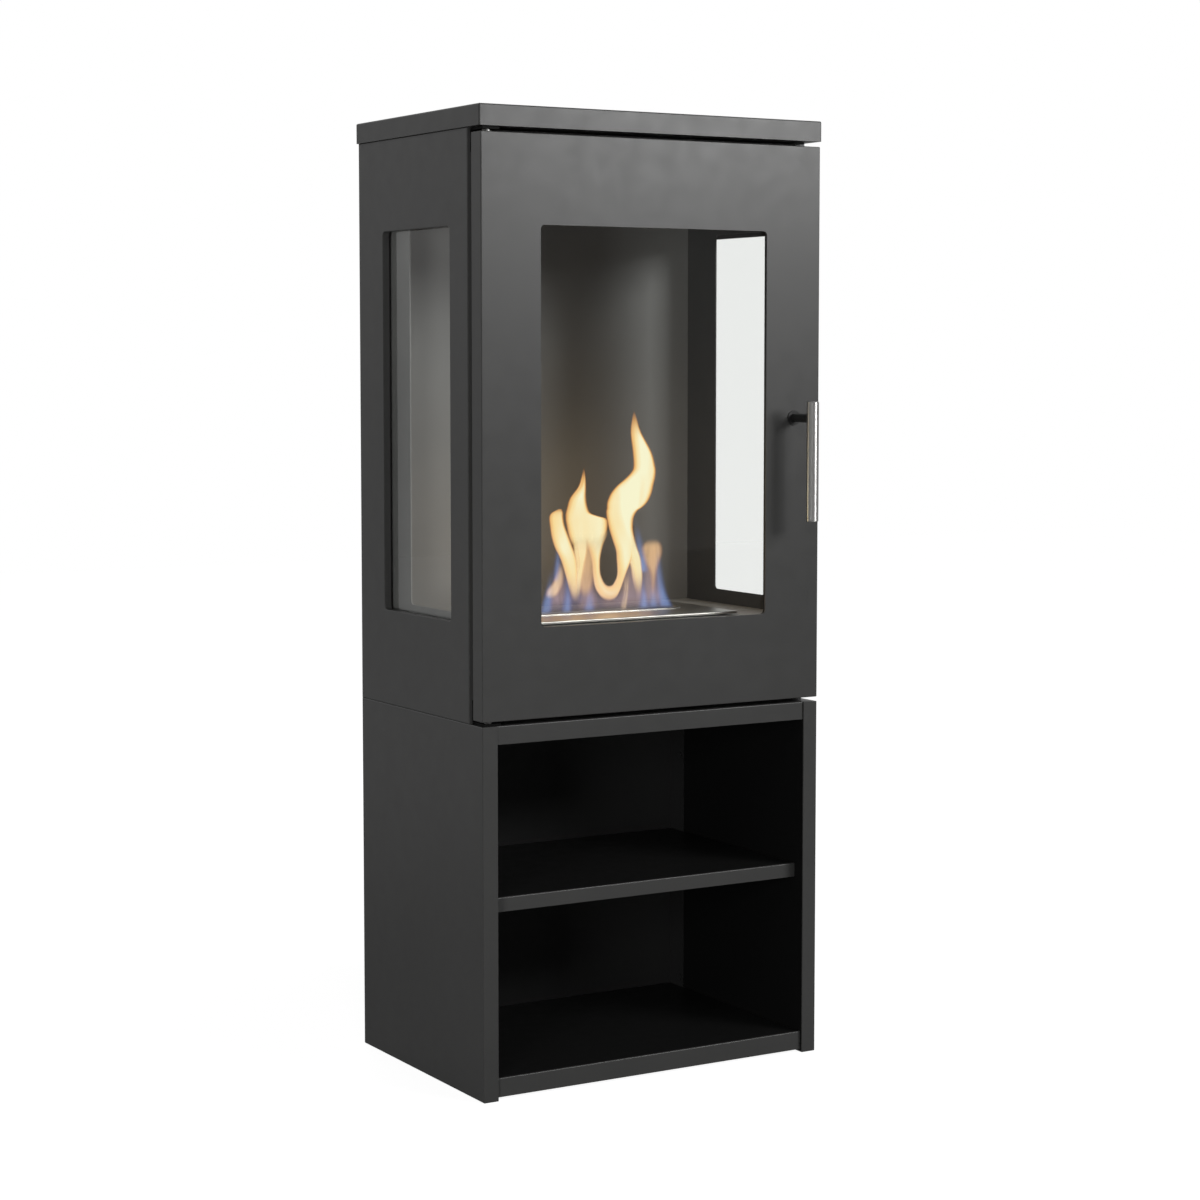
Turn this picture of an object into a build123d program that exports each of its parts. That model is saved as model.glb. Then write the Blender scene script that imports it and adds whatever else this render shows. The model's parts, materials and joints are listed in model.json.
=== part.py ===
from build123d import *
import os

# A free-standing bioethanol fireplace: an open shelf stand, a firebox with two side
# windows and a glazed door on top of it, and a drop-in burner.
# Millimetres. While the pieces are made, x is 0 at the middle of the cabinet, y is 0 at
# its front face and z is 0 on the floor. The front faces -Y.

# ---------------------------------------------------------------- cabinet
width = 440.0
depth = 300.0
base_height = 413.0
firebox_height = 644.0
lid_height = 23.0
lid_overhang = 2.0
sheet = 1.5
lid_sheet = 2.0
seam = 0.1
edge_round = 1.2
lid_round = 1.8

# ---------------------------------------------------------------- base stand
base_side_width = 18.4
liner_flange = 10.0
rail_height = 20.4
rail_setback = 2.0
shelf_underside = 205.4
shelf_height = 16.0
shelf_setback = 17.0
bottom_lift = 3.0
bottom_height = 21.3
bottom_setback = 4.0
tray_lip = 12.0
back_setback = 11.5
back_flange = 29.0
panel_screw_inset = 60.0
back_screw_inset = 6.0
back_screw_levels = (36.0, 316.0)
stack_inset = 70.0
stack_front_inset = 35.0
stack_rear_inset = 60.0

# ---------------------------------------------------------------- firebox
body_setback = 31.0
side_return = 14.0
side_window_front = 73.0
side_window_rear_margin = 62.0
side_window_rise = 109.0
side_window_drop = 103.5
window_corner = 5.0
reveal_depth = 8.0
reveal_round = 0.8
gasket_thickness = 1.0
gasket_width = 9.0
side_glass_thickness = 4.0
glass_overlap = 12.0
glass_corner = 1.0
liner_front = 44.0
liner_window_front = 70.0
liner_window_rear_margin = 104.0
liner_window_rise = 117.0
liner_window_drop = 99.0
inner_back_setback = 42.0
inner_back_drop = 17.0
inner_back_flange = 15.0
baffle_drop = 37.0
baffle_fold = 10.0
baffle_slot = (40.0, 8.0)
baffle_slot_count = 7
baffle_slot_insets = (30.0, 55.0)
floor_rise = 100.0
floor_fold = 16.0
support_leg = 15.0
support_margin = 16.0
frame_opening_drop = 72.0
frame_screw_rises = (60.0, 210.0)
frame_screw_above_opening = 15.0
cover_screw_inset = 30.0
fold_screw_front_inset = 35.0
fold_screw_rear_inset = 50.0
vent_slot = (34.0, 5.0)
vent_columns = 8
vent_pitch_x = 44.0
vent_pitch_z = 12.0
upper_vent_drop = 65.0
upper_vent_rows = 4
lower_vent_rise = 27.0
lower_vent_rows = 3
lid_front_lip = 45.0
lid_side_lip = 22.0

# ---------------------------------------------------------------- door
door_sheet = 2.0
door_depth = 21.5
door_top_gap = 6.0
door_bottom_gap = 5.0
window_margin = 73.0
window_rise = 105.0
window_drop = 103.5
door_gasket_thickness = 3.0
door_glass_thickness = 4.0
inner_opening_margin = 25.0
boss_inset = 24.0
boss_radius = 4.0
boss_rises = (27.0, 227.0, 427.0)
boss_drop = 47.0
door_screw_end = 4.0
stud_offset = 6.0
stud_length = 12.0
clip_width = 14.0
clip_sheet = 1.5
clip_bite = 7.0
clip_leg_offset = 11.0
side_clip_spacing = 175.0

# ---------------------------------------------------------------- hinges
hinge_inset = 12.0
hinge_y = 10.0
pin_radius = 3.0
pin_clearance = 0.05
bush_wall = 2.0
hinge_block_height = 16.0
hinge_block_depth = 15.0
hinge_block_width = 20.0
hinge_block_inset = 1.0
bracket_width = 20.0
bracket_offset = 2.0
bracket_nose = 4.0
top_bracket_sheet = 3.0
bottom_bracket_sheet = 2.5
bracket_leg = 26.0
lid_clearance = 0.5
base_clearance = 0.3
washer_radius = 4.5
washer_gap = 0.25
bracket_screw_drop = 5.0
bracket_screw_offset = 1.0
bracket_screw_pitch = 11.0

# ---------------------------------------------------------------- handle and latch
handle_inset = 35.0
handle_reach = 45.0
bar_radius = 7.0
bar_length = 136.0
bar_above_spindle = 19.0
bar_chamfer = 0.6
spindle_rise = 329.0
spindle_radius = 5.0
spindle_clearance = 0.05
bush_radius = 7.0
bush_flange = (8.5, 1.2)
bush_tail = 1.0
clip_ring = (8.0, 1.5)
tongue_radius = 4.0
tongue_height = 14.0
tongue_thickness = 3.0
tongue_gap = 2.0
tongue_round = 2.0
latch_clearance = 1.4
nut_height = 5.0

# ---------------------------------------------------------------- burner
burner_length = 282.0
burner_depth = 138.0
burner_front = 50.0
burner_height = 5.0
burner_sheet = 1.5
burner_skirt = 3.0
burner_round = 1.4
tank_length = 260.0
tank_depth = 100.0
tank_drop = 73.0
tank_wall = 1.0
tank_flange = 5.0
cutout_clearance = 1.5
rest_gap = 0.2
slot_length = 206.0
slot_width = 20.0
slot_lip = 1.5
slot_lip_width = 2.0
fibre_gap = 1.0
fibre_drop = 8.0
shutter_sheet = 1.2
shutter_gap = 0.4
shutter_overlap = 3.0
shutter_travel = 24.0
guide_sheet = 1.2
guide_ledge = 4.0
guide_clearance = 0.4
guide_overrun = 2.0
knob_radius = 4.5
knob_height = 8.0
knob_stem_radius = 2.0
knob_inset = 13.0
knob_slot_width = 5.0
knob_round = 1.2

# ---------------------------------------------------------------- fasteners: radius, head radius, head height
m4 = (2.0, 3.8, 2.0)
m5 = (2.5, 4.2, 2.8)
m6 = (3.0, 5.0, 4.0)
hole_clearance = 0.2
thread_clearance = 0.03
nut_wall = 2.4
nut_reach = 1.6  # a nut's height, in shank radii
tip_reach = 2.0  # how far a shank passes its thread's face, in shank radii
over = 1.0  # how far a cut passes the face that it goes through

# ---------------------------------------------------------------- worked out
half = width / 2
base_inner = half - base_side_width
tray_half = base_inner - seam
back_face = depth - back_setback - sheet
firebox_top = base_height + firebox_height
total_height = firebox_top + lid_height
skin_inner = half - sheet
plate_half = skin_inner - seam
inner_back_y = depth - inner_back_setback
inner_back_top = firebox_top - inner_back_drop
baffle_level = firebox_top - baffle_drop
floor_level = base_height + floor_rise
frame_opening_top = firebox_top - frame_opening_drop
upper_vent_level = firebox_top - upper_vent_drop
lower_vent_level = base_height + lower_vent_rise
glass_face = half - reveal_depth - gasket_thickness
liner_face = glass_face - side_glass_thickness - sheet
bottom_plate_top = base_height + 2 * sheet
top_plate_under = firebox_top - 2 * sheet
frame_front = body_setback + sheet
frame_back = frame_front + sheet
cover_front = depth - 2 * sheet
return_middle = half - side_return / 2
opening_half = half - side_return
door_bottom = base_height + door_bottom_gap
door_top = firebox_top - door_top_gap
window_half = half - window_margin
window_bottom = base_height + window_rise
window_top = firebox_top - window_drop
boss_levels = [base_height + rise for rise in boss_rises] + [firebox_top - boss_drop]
door_glass_front = door_sheet + door_gasket_thickness
door_glass_back = door_glass_front + door_glass_thickness
boss_x = half - boss_inset
hinge_x = hinge_inset - half
handle_x = half - handle_inset
bar_y = bar_radius - handle_reach
spindle_level = base_height + spindle_rise
top_bracket_top = firebox_top - lid_clearance
top_bracket_under = top_bracket_top - top_bracket_sheet
bottom_bracket_under = base_height + base_clearance
bottom_bracket_top = bottom_bracket_under + bottom_bracket_sheet
burner_middle = burner_front + burner_depth / 2
burner_top = floor_level + burner_height
plate_under = burner_top - burner_sheet
tank_bottom = floor_level - tank_drop
fibre_top = floor_level - fibre_drop
shutter_top = plate_under - shutter_gap
shutter_bottom = shutter_top - shutter_sheet
shutter_rest_y = burner_middle + shutter_travel
knob_x = knob_inset - tank_length / 2
centre_y = (depth + lid_overhang - handle_reach) / 2

base_windows = {
    "rail": (rail_setback, base_height - rail_height, rail_height),
    "shelf": (shelf_setback, shelf_underside, shelf_height),
    "bottom": (bottom_setback, bottom_lift, bottom_height),
}
side_window = (
    (side_window_front, depth - side_window_rear_margin),
    (base_height + side_window_rise, firebox_top - side_window_drop),
)
liner_window = (
    (liner_window_front, depth - liner_window_rear_margin),
    (base_height + liner_window_rise, firebox_top - liner_window_drop),
)
door_window = ((-window_half, window_half), (window_bottom, window_top))


# ---------------------------------------------------------------- shapes
def block(x_range, y_range, z_range):
    """A box between three pairs of limits, given in either order."""
    ranges = [sorted(limits) for limits in (x_range, y_range, z_range)]
    middle = [(low + high) / 2 for low, high in ranges]
    lengths = [high - low for low, high in ranges]
    return Pos(*middle) * Box(*lengths)


def rod(start, end, radius):
    """A round bar between two points."""
    run = Vector(*end) - Vector(*start)
    return extrude(Plane(origin=start, z_dir=run) * Circle(radius), run.length)


def hexagon(start, end, radius):
    """A hexagonal bar between two points."""
    run = Vector(*end) - Vector(*start)
    return extrude(Plane(origin=start, z_dir=run) * RegularPolygon(radius, 6), run.length)


def grown(limits, amount):
    return (limits[0] - amount, limits[1] + amount)


def opening_x(x_range, window, outset=0.0, corner=window_corner):
    """A round-cornered block that passes along X; window is its y and z limits."""
    shape = block(x_range, grown(window[0], outset), grown(window[1], outset))
    return fillet(shape.edges().filter_by(Axis.X), corner + outset)


def opening_y(y_range, window, outset=0.0, corner=window_corner):
    """A round-cornered block that passes along Y; window is its x and z limits."""
    shape = block(grown(window[0], outset), y_range, grown(window[1], outset))
    return fillet(shape.edges().filter_by(Axis.Y), corner + outset)


def slot_z(length, breadth, x, y, z_range):
    """A round-ended slot along X that passes along Z."""
    low, high = z_range
    return Pos(x, y, low) * extrude(SlotOverall(length, breadth), high - low)


def hole(start, end, size, clearance):
    return rod(start, end, size[0] + clearance)


def screw(head_seat, tip, size):
    """A screw whose head stands on head_seat and whose shank runs to tip."""
    seat = Vector(*head_seat)
    run = (Vector(*tip) - seat).normalized()
    back = seat - run * size[2]
    head = rod(tuple(back), head_seat, size[1])
    return head + rod(head_seat, tip, size[0])


def nut(start, end, size):
    """A hexagonal nut with its thread."""
    return hexagon(start, end, size[0] + nut_wall) - hole(start, end, size, thread_clearance)


def both_sides(piece):
    return [piece, mirror(piece, Plane.YZ)]


def group(shapes):
    return Compound([solid for shape in shapes for solid in shape.solids()])


# ---------------------------------------------------------------- base stand
def panel_screw_points():
    """Heights and depths of the screws that hold the three trays to one side."""
    points = []
    for front, bottom, height in base_windows.values():
        for y in (front + panel_screw_inset, back_face - panel_screw_inset):
            points.append((y, bottom + height / 2))
    return points


def back_screw_points():
    return [(back_face - back_flange + back_screw_inset, level) for level in back_screw_levels]


def base_side():
    """The right outer tray: a sheet folded at its front, rear, top and foot."""
    shape = block((base_inner, half), (0, depth), (0, base_height))
    shape = fillet(shape.faces().sort_by(Axis.X)[-1].edges(), edge_round)
    hollow = ((base_inner - over, skin_inner), (sheet, depth - sheet), (sheet, base_height - sheet))
    return shape - block(*hollow)


def base_liner():
    """The right inner wall, flanged outwards into the side tray."""
    y_range = (sheet + seam, depth - sheet - seam)
    z_range = (sheet + seam, base_height - sheet - seam)
    shape = block((base_inner, base_inner + liner_flange), y_range, z_range)
    hollow = (base_inner + sheet, base_inner + liner_flange + over)
    shape -= block(hollow, grown(y_range, -sheet), grown(z_range, -sheet))
    for y, z in panel_screw_points():
        shape -= hole((base_inner - over, y, z), (base_inner + sheet + over, y, z), m5, thread_clearance)
    for y, z in back_screw_points():
        shape -= hole((base_inner - over, y, z), (base_inner + sheet + over, y, z), m4, thread_clearance)
    return shape


def base_tray(front, bottom, height):
    """A folded tray, open below, with a lip under its front and rear edges."""
    top = bottom + height
    y_range = (front, back_face - seam)
    shape = block((-tray_half, tray_half), y_range, (bottom, top))
    front_top = shape.edges().filter_by(Axis.X).group_by(Axis.Y)[0].sort_by(Axis.Z)[-1]
    shape = fillet(front_top, edge_round)
    inner_half = tray_half - sheet
    shape -= block((-inner_half, inner_half), grown(y_range, -sheet), (bottom + sheet, top - sheet))
    mouth_z = (bottom - over, bottom + sheet + over)
    shape -= block((-inner_half, inner_half), grown(y_range, -tray_lip), mouth_z)
    notch_front = back_face - back_flange - seam
    for side in (-1, 1):
        notch_x = (side * (inner_half - seam), side * (tray_half + over))
        shape -= block(notch_x, (notch_front, back_face), (bottom - over, top + over))
        for y in (front + panel_screw_inset, back_face - panel_screw_inset):
            z = bottom + height / 2
            start = (side * (inner_half - over), y, z)
            shape -= hole(start, (side * (tray_half + over), y, z), m5, hole_clearance)
    return shape


def base_top_panel():
    shape = base_tray(*base_windows["rail"])
    for x, y in stack_points():
        shape -= hole((x, y, base_height - sheet - over), (x, y, base_height + over), m6, hole_clearance)
    return shape


def base_back_panel():
    """The back sheet, with flanges that run forwards along both side walls."""
    z_range = (bottom_lift, base_height - seam)
    shape = block((-tray_half, tray_half), (back_face, back_face + sheet), z_range)
    for side in (-1, 1):
        flange_x = (side * (tray_half - sheet), side * tray_half)
        shape += block(flange_x, (back_face - back_flange, back_face + sheet), z_range)
        for y, z in back_screw_points():
            reach = (side * (tray_half - sheet - over), side * (tray_half + over))
            shape -= hole((reach[0], y, z), (reach[1], y, z), m4, hole_clearance)
    return shape


def base_screws():
    seat = tray_half - sheet
    tip = base_inner + sheet + m5[0] * tip_reach
    right = [screw((seat, y, z), (tip, y, z), m5) for y, z in panel_screw_points()]
    return group([piece for one in right for piece in both_sides(one)])


def base_weld_nuts():
    start = base_inner + sheet
    right = [nut((start, y, z), (start + m5[0] * nut_reach, y, z), m5) for y, z in panel_screw_points()]
    return group([piece for one in right for piece in both_sides(one)])


def base_back_screws():
    seat = tray_half - sheet
    tip = base_inner + sheet + m4[0] * tip_reach
    right = [screw((seat, y, z), (tip, y, z), m4) for y, z in back_screw_points()]
    return group([piece for one in right for piece in both_sides(one)])


# ---------------------------------------------------------------- firebox body
def stack_points():
    """Where the firebox is bolted down on the base."""
    spots = []
    for x in (stack_inset - half, half - stack_inset):
        for y in (body_setback + stack_front_inset, depth - stack_rear_inset):
            spots.append((x, y))
    return spots


def side_fold_points():
    """Depths of the vertical screws in the side sheets' top and bottom folds."""
    return (body_setback + fold_screw_front_inset, depth - fold_screw_rear_inset)


def frame_screw_levels():
    levels = [base_height + rise for rise in frame_screw_rises]
    return levels + [frame_opening_top + frame_screw_above_opening]


def cover_screw_levels():
    middle = (base_height + firebox_top) / 2
    return (base_height + cover_screw_inset, middle, firebox_top - cover_screw_inset)


def bracket_screw_points():
    """Positions of the screws through the two hinge brackets' legs."""
    x = bracket_screw_offset - return_middle
    upper = top_bracket_under - bracket_screw_drop
    lower = bottom_bracket_top + bracket_screw_drop
    return {
        "top": [(x, upper - step * bracket_screw_pitch) for step in (0, 1)],
        "bottom": [(x, lower + step * bracket_screw_pitch) for step in (0, 1)],
    }


def firebox_side(side):
    """One outer side sheet: folded edges, a window and its inward reveal."""
    shape = block((opening_half, half), (body_setback, depth), (base_height, firebox_top))
    shape = fillet(shape.faces().sort_by(Axis.X)[-1].edges(), edge_round)
    y_range = (body_setback + sheet, depth - sheet)
    z_range = (base_height + sheet, firebox_top - sheet)
    shape -= block((opening_half - over, skin_inner), y_range, z_range)
    shape += opening_x((half - reveal_depth, half - sheet / 2), side_window, sheet)
    shape -= opening_x((half - reveal_depth - over, half + over), side_window)
    mouth = shape.faces().sort_by(Axis.X)[-1].inner_wires()[0].edges()
    shape = fillet(mouth, reveal_round)
    x = return_middle
    for level in frame_screw_levels():
        shape -= hole((x, body_setback - over, level), (x, frame_front + over, level), m4, thread_clearance)
    for level in cover_screw_levels():
        shape -= hole((x, depth - sheet - over, level), (x, depth + over, level), m4, hole_clearance)
    for y in side_fold_points():
        shape -= hole((x, y, firebox_top - sheet - over), (x, y, firebox_top + over), m5, hole_clearance)
        shape -= hole((x, y, base_height - over), (x, y, base_height + sheet + over), m4, thread_clearance)
    if side > 0:
        return shape
    shape = mirror(shape, Plane.YZ)
    for points in bracket_screw_points().values():
        for screw_x, level in points:
            start = (screw_x, body_setback - over, level)
            shape -= hole(start, (screw_x, frame_front + over, level), m4, thread_clearance)
    return shape


def side_gasket():
    """Flat fibre tape between the reveal's edge and the side glass."""
    x_range = (glass_face, glass_face + gasket_thickness)
    ring = opening_x(x_range, side_window, gasket_width)
    return ring - opening_x(grown(x_range, over), side_window, seam)


def side_glass():
    x_range = (glass_face - side_glass_thickness, glass_face)
    return opening_x(x_range, side_window, glass_overlap, glass_corner)


def firebox_liner():
    """The right inner wall. It clamps the side glass and is flanged outwards at the front."""
    z_range = (bottom_plate_top, baffle_level)
    shape = block((liner_face, liner_face + sheet), (liner_front, inner_back_y), z_range)
    shape += block((liner_face, plate_half), (liner_front, liner_front + sheet), z_range)
    return shape - opening_x((liner_face - over, liner_face + sheet + over), liner_window)


def front_frame():
    """The sheet behind the door, open from the firebox floor upwards."""
    shape = block((-plate_half, plate_half), (frame_front, frame_back), (bottom_plate_top, top_plate_under))
    opening = ((-opening_half, opening_half), (floor_level - sheet, frame_opening_top))
    shape -= opening_y((frame_front - over, frame_back + over), opening)
    for side in (-1, 1):
        for level in frame_screw_levels():
            x = side * return_middle
            shape -= hole((x, frame_front - over, level), (x, frame_back + over, level), m4, hole_clearance)
    for points in bracket_screw_points().values():
        for x, level in points:
            shape -= hole((x, frame_front - over, level), (x, frame_back + over, level), m4, hole_clearance)
    return shape


def level_plate(z, holes, size):
    """A plate across the firebox between the front frame and the rear cover."""
    shape = block((-plate_half, plate_half), (frame_front + seam, cover_front - seam), (z, z + sheet))
    for x, y, hole_size in holes:
        shape -= hole((x, y, z - over), (x, y, z + sheet + over), hole_size, size)
    return shape


def firebox_bottom_plate():
    holes = [(x, y, m6) for x, y in stack_points()]
    holes += [(side * return_middle, y, m4) for side in (-1, 1) for y in side_fold_points()]
    return level_plate(base_height + sheet, holes, hole_clearance)


def firebox_top_plate():
    holes = [(side * return_middle, y, m5) for side in (-1, 1) for y in side_fold_points()]
    return level_plate(top_plate_under, holes, hole_clearance)


def firebox_floor():
    """The floor under the flames, with a cut-out for the burner's tank and a front fold."""
    wall = liner_face - seam
    front = frame_back + seam
    shape = block((-wall, wall), (front, inner_back_y - seam), (floor_level - sheet, floor_level))
    shape += block((-wall, wall), (front, front + sheet), (floor_level - floor_fold, floor_level))
    reach_x = tank_length / 2 + cutout_clearance
    reach_y = tank_depth / 2 + cutout_clearance
    y_range = (burner_middle - reach_y, burner_middle + reach_y)
    return shape - block((-reach_x, reach_x), y_range, (floor_level - sheet - over, floor_level + over))


def floor_support():
    """The right angle that carries the floor on the inner wall."""
    top = floor_level - sheet
    y_range = (liner_front + support_margin, inner_back_y - support_margin)
    leg = block((liner_face - sheet, liner_face), y_range, (top - support_leg, top))
    return leg + block((liner_face - support_leg, liner_face), y_range, (top - sheet, top))


def firebox_inner_back():
    """The wall behind the flames, flanged rearwards along both side sheets."""
    z_range = (bottom_plate_top, inner_back_top)
    shape = block((-plate_half, plate_half), (inner_back_y, inner_back_y + sheet), z_range)
    for side in (-1, 1):
        flange_x = (side * (plate_half - sheet), side * plate_half)
        shape += block(flange_x, (inner_back_y, inner_back_y + inner_back_flange), z_range)
    return shape


def firebox_baffle():
    """The heat shield above the flames, with slots for the hot air."""
    reach = liner_face + sheet
    y_range = (frame_back + seam, inner_back_y - seam)
    shape = block((-reach, reach), y_range, (baffle_level, baffle_level + baffle_fold))
    fold_range = (baffle_level + sheet, baffle_level + baffle_fold + over)
    shape -= block((-reach - over, reach + over), grown(y_range, -sheet), fold_range)
    pitch = 2 * reach / baffle_slot_count
    for inset in baffle_slot_insets:
        for index in range(baffle_slot_count):
            x = (index + 0.5) * pitch - reach
            z_range = (baffle_level - over, baffle_level + sheet + over)
            shape -= slot_z(*baffle_slot, x, inner_back_y - inset, z_range)
    return shape


def rear_cover():
    """The outer back, with rows of vent slots above and below."""
    z_range = (bottom_plate_top - sheet + seam, top_plate_under + sheet - seam)
    shape = block((-plate_half, plate_half), (cover_front, cover_front + sheet), z_range)
    for level, rows in ((lower_vent_level, lower_vent_rows), (upper_vent_level, upper_vent_rows)):
        for row in range(rows):
            for column in range(vent_columns):
                x = (column - (vent_columns - 1) / 2) * vent_pitch_x
                z = level + row * vent_pitch_z
                start = Plane(origin=(x, cover_front - over, z), x_dir=(1, 0, 0), z_dir=(0, 1, 0))
                shape -= extrude(start * SlotOverall(*vent_slot), sheet + 2)
    for side in (-1, 1):
        for level in cover_screw_levels():
            x = side * return_middle
            start = (x, cover_front - over, level)
            shape -= hole(start, (x, cover_front + sheet + over, level), m4, thread_clearance)
    return shape


def lid():
    """The top: a folded tray with a lip that lies on the firebox."""
    reach = half + lid_overhang
    y_range = (0, depth + lid_overhang)
    shape = block((-reach, reach), y_range, (firebox_top, total_height))
    rounded = shape.edges().filter_by(Axis.Z) + shape.faces().sort_by(Axis.Z)[-1].edges()
    shape = fillet(rounded, lid_round)
    hollow = (lid_sheet - reach, reach - lid_sheet)
    shape -= block(hollow, grown(y_range, -lid_sheet), (firebox_top + lid_sheet, total_height - lid_sheet))
    mouth_x = (lid_side_lip - reach, reach - lid_side_lip)
    mouth_y = (lid_front_lip, depth + lid_overhang - lid_side_lip)
    shape -= block(mouth_x, mouth_y, (firebox_top - over, firebox_top + lid_sheet + over))
    for side in (-1, 1):
        for y in side_fold_points():
            x = side * return_middle
            tip = (x, y, firebox_top + lid_sheet + over)
            shape -= hole((x, y, firebox_top - over), tip, m5, thread_clearance)
    return shape


def stack_bolts():
    tip = base_height - sheet - m6[0] * tip_reach
    return group([screw((x, y, bottom_plate_top), (x, y, tip), m6) for x, y in stack_points()])


def stack_nuts():
    top = base_height - sheet
    return group([nut((x, y, top - m6[0] * nut_reach), (x, y, top), m6) for x, y in stack_points()])


def side_panel_screws():
    tip = base_height + seam
    seats = [(return_middle, y) for y in side_fold_points()]
    right = [screw((x, y, bottom_plate_top), (x, y, tip), m4) for x, y in seats]
    return group([piece for one in right for piece in both_sides(one)])


def lid_screws():
    tip = firebox_top + lid_sheet + m5[0] * tip_reach
    seats = [(return_middle, y) for y in side_fold_points()]
    right = [screw((x, y, top_plate_under), (x, y, tip), m5) for x, y in seats]
    return group([piece for one in right for piece in both_sides(one)])


def frame_screws():
    x = return_middle
    right = [screw((x, frame_back, z), (x, body_setback + seam, z), m4) for z in frame_screw_levels()]
    return group([piece for one in right for piece in both_sides(one)])


def rear_cover_screws():
    x = return_middle
    right = [screw((x, depth, z), (x, cover_front - m4[0] * tip_reach, z), m4) for z in cover_screw_levels()]
    return group([piece for one in right for piece in both_sides(one)])


# ---------------------------------------------------------------- hinges
def hinge_bracket(plate_range, leg_range, points):
    """An angle on the firebox's front that carries one pivot pin over or under the door."""
    thickness = abs(plate_range[1] - plate_range[0])
    middle = hinge_x + bracket_offset
    x_range = (middle - bracket_width / 2, middle + bracket_width / 2)
    plate = block(x_range, (hinge_y - pin_radius - bracket_nose, body_setback), plate_range)
    shape = plate + block(x_range, (body_setback - top_bracket_sheet, body_setback), leg_range)
    below = (hinge_x, hinge_y, min(plate_range) - over)
    shape -= rod(below, (hinge_x, hinge_y, max(plate_range) + thickness), pin_radius + thread_clearance)
    for x, level in points:
        front = body_setback - top_bracket_sheet
        shape -= hole((x, front - over, level), (x, body_setback + over, level), m4, hole_clearance)
        shape -= rod((x, front - over, level), (x, front + m4[2], level), m4[1] + seam)
    return shape


def hinge_bracket_top():
    plate = (top_bracket_under, top_bracket_top)
    leg = (top_bracket_top - bracket_leg, top_bracket_top)
    return hinge_bracket(plate, leg, bracket_screw_points()["top"])


def hinge_bracket_bottom():
    plate = (bottom_bracket_under, bottom_bracket_top)
    leg = (bottom_bracket_under, bottom_bracket_under + bracket_leg)
    return hinge_bracket(plate, leg, bracket_screw_points()["bottom"])


def hinge_bracket_screws():
    seat = body_setback - top_bracket_sheet + m4[2]
    points = [point for pair in bracket_screw_points().values() for point in pair]
    return group([screw((x, seat, z), (x, frame_back + m4[0] * tip_reach, z), m4) for x, z in points])


def hinge_pins():
    reach = hinge_block_height - hinge_block_inset
    upper = rod((hinge_x, hinge_y, door_top - reach), (hinge_x, hinge_y, top_bracket_top), pin_radius)
    lower = rod((hinge_x, hinge_y, bottom_bracket_under), (hinge_x, hinge_y, door_bottom + reach), pin_radius)
    return group([upper, lower])


def hinge_washer(z_range):
    foot = (hinge_x, hinge_y, z_range[0])
    tip = (hinge_x, hinge_y, z_range[1])
    return rod(foot, tip, washer_radius) - rod(foot, tip, pin_radius + 2 * pin_clearance)


def hinge_bushes():
    """A bush in each end of the door, round the pivot pins."""
    bushes = []
    for level in (door_bottom, door_top - hinge_block_height):
        foot = (hinge_x, hinge_y, level)
        tip = (hinge_x, hinge_y, level + hinge_block_height)
        bushes.append(rod(foot, tip, pin_radius + bush_wall) - rod(foot, tip, pin_radius + pin_clearance))
    return group(bushes)


# ---------------------------------------------------------------- door
def clip_points():
    """Where the glass clips stand: x, z and the turn that points each one at the glass."""
    middle = (window_bottom + window_top) / 2
    side_x = window_half + glass_overlap + stud_offset
    reach_z = (window_top - window_bottom) / 2 + glass_overlap + stud_offset
    points = [(side_x, middle + step * side_clip_spacing, 0) for step in (-1, 0, 1)]
    points += [(-side_x, middle + step * side_clip_spacing, 180) for step in (-1, 0, 1)]
    points += [(0, middle + reach_z, -90), (0, middle - reach_z, 90)]
    return points


def door_panel():
    """The door's outer tray with its window, screw bosses, clip studs and hinge blocks."""
    z_range = (door_bottom, door_top)
    shape = block((-half, half), (0, door_depth), z_range)
    shape = fillet(shape.faces().sort_by(Axis.Y)[0].edges() + shape.edges().filter_by(Axis.Y), edge_round)
    inner_x = half - door_sheet
    inner_z = grown(z_range, -door_sheet)
    shape -= block((-inner_x, inner_x), (door_sheet, door_depth + over), inner_z)
    shape -= opening_y((-over, door_sheet + over), door_window)
    pan_front = door_depth - sheet
    for side in (-1, 1):
        for level in boss_levels:
            start = (side * boss_x, door_sheet / 2, level)
            shape += rod(start, (side * boss_x, pan_front, level), boss_radius)
            start = (side * boss_x, door_sheet + over, level)
            shape -= hole(start, (side * boss_x, door_depth, level), m4, thread_clearance)
    for x, z, _ in clip_points():
        shape += rod((x, door_sheet / 2, z), (x, door_sheet + stud_length, z), m4[0])
    block_x = (-inner_x - door_sheet / 2, -inner_x + hinge_block_width)
    block_y = (door_sheet / 2, door_sheet + hinge_block_depth)
    shape += block(block_x, block_y, (door_top - hinge_block_height, door_top - hinge_block_inset))
    shape += block(block_x, block_y, (door_bottom + hinge_block_inset, door_bottom + hinge_block_height))
    bore = pin_radius + bush_wall + thread_clearance
    reach = hinge_block_height + over
    shape -= rod((hinge_x, hinge_y, door_top - reach), (hinge_x, hinge_y, door_top + over), bore)
    shape -= rod((hinge_x, hinge_y, door_bottom - over), (hinge_x, hinge_y, door_bottom + reach), bore)
    start = (handle_x, -over, spindle_level)
    return shape - rod(start, (handle_x, door_sheet + over, spindle_level), bush_radius + thread_clearance)


def door_gasket():
    y_range = (door_sheet, door_glass_front)
    ring = opening_y(y_range, door_window, glass_overlap - 2)
    return ring - opening_y(grown(y_range, over), door_window, 3 * seam)


def door_glass():
    return opening_y((door_glass_front, door_glass_back), door_window, glass_overlap, glass_corner)


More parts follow.
